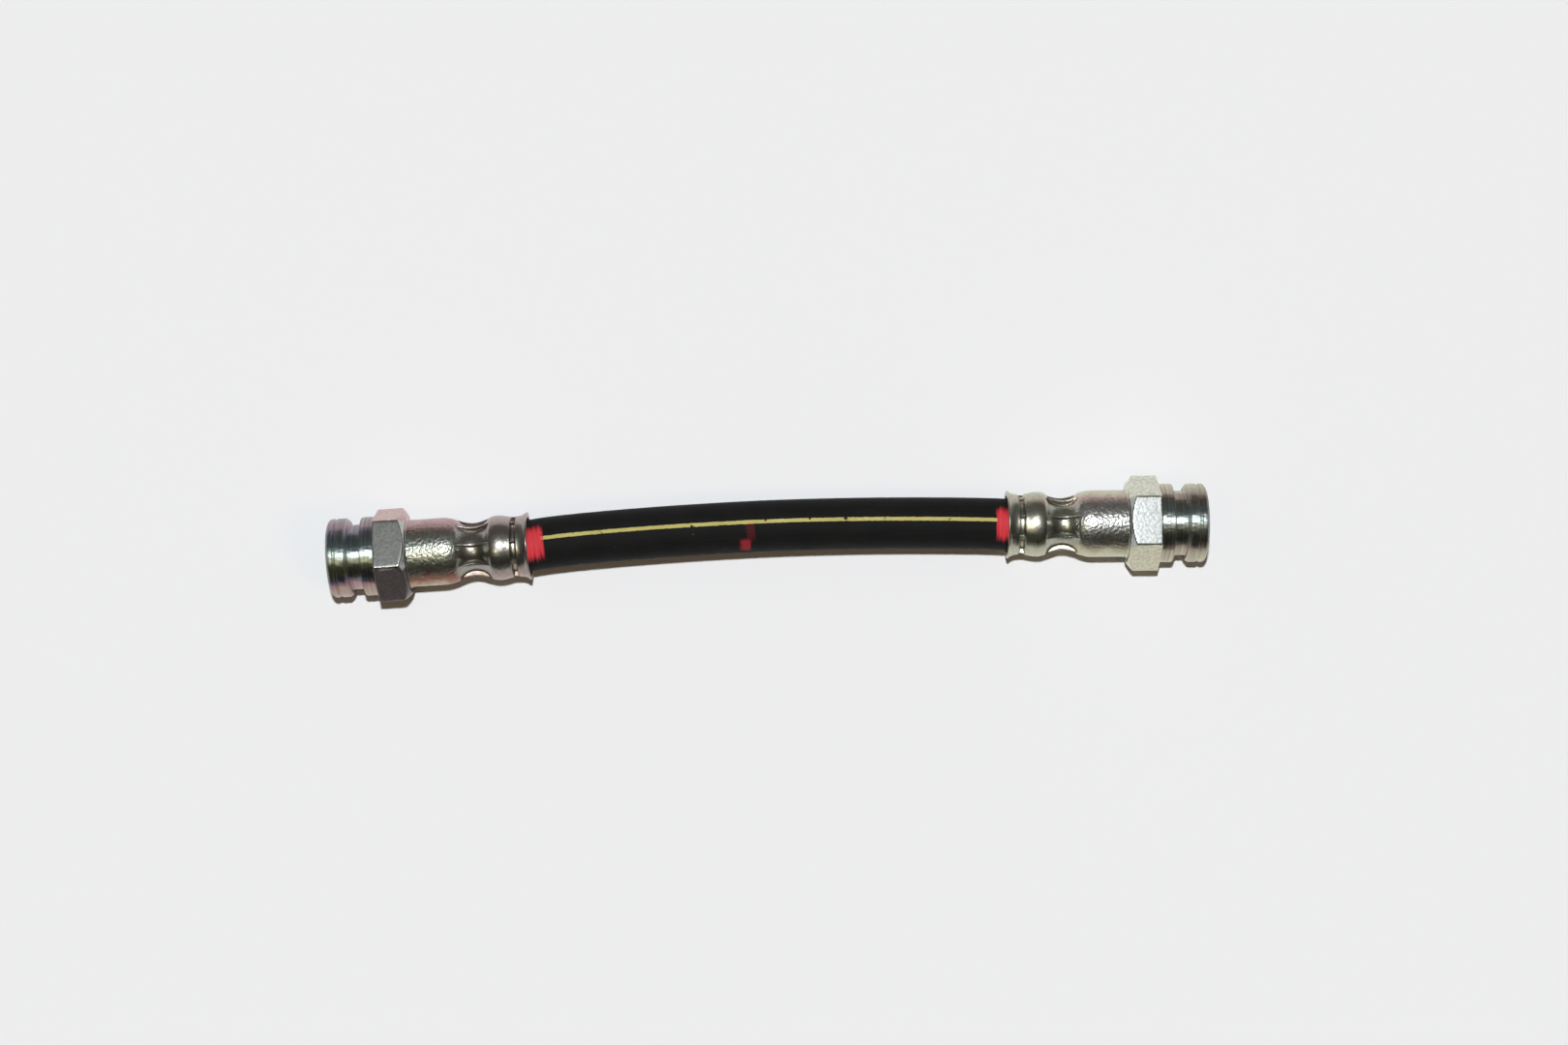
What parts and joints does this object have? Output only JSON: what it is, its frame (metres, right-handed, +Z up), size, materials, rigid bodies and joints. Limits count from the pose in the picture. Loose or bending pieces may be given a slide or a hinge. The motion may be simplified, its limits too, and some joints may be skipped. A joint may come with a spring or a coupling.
{
  "type": "brake hose",
  "caption": "Short hydraulic brake hose: rubber hose with a crimped steel fitting on each end, each with a hexagon, a clip groove and a threaded socket.",
  "frame": {"origin": "middle of the object's footprint, on the surface that it rests on", "axes": "+X along the hose from the left fitting to the right one, +Z up from the surface, +Y to the outside of the hose's slight bend"},
  "size_m": [0.1784, 0.0198, 0.0186],
  "materials": {
    "hose_rubber": "black extruded rubber with a thin pale yellow line along it and red paint bands at its ends",
    "left_plating": "zinc-plated forged steel, passivated with a pinkish tint, crimped and turned",
    "right_plating": "zinc-plated forged steel, passivated with a yellow-green tint, crimped and turned",
    "insert_steel": "plain turned steel"
  },
  "bodies": {
    "root": {"hose": "hose_rubber", "left_fitting": "left_plating", "right_fitting": "right_plating", "left_insert": "insert_steel", "right_insert": "insert_steel"}
  },
  "joints": []
}
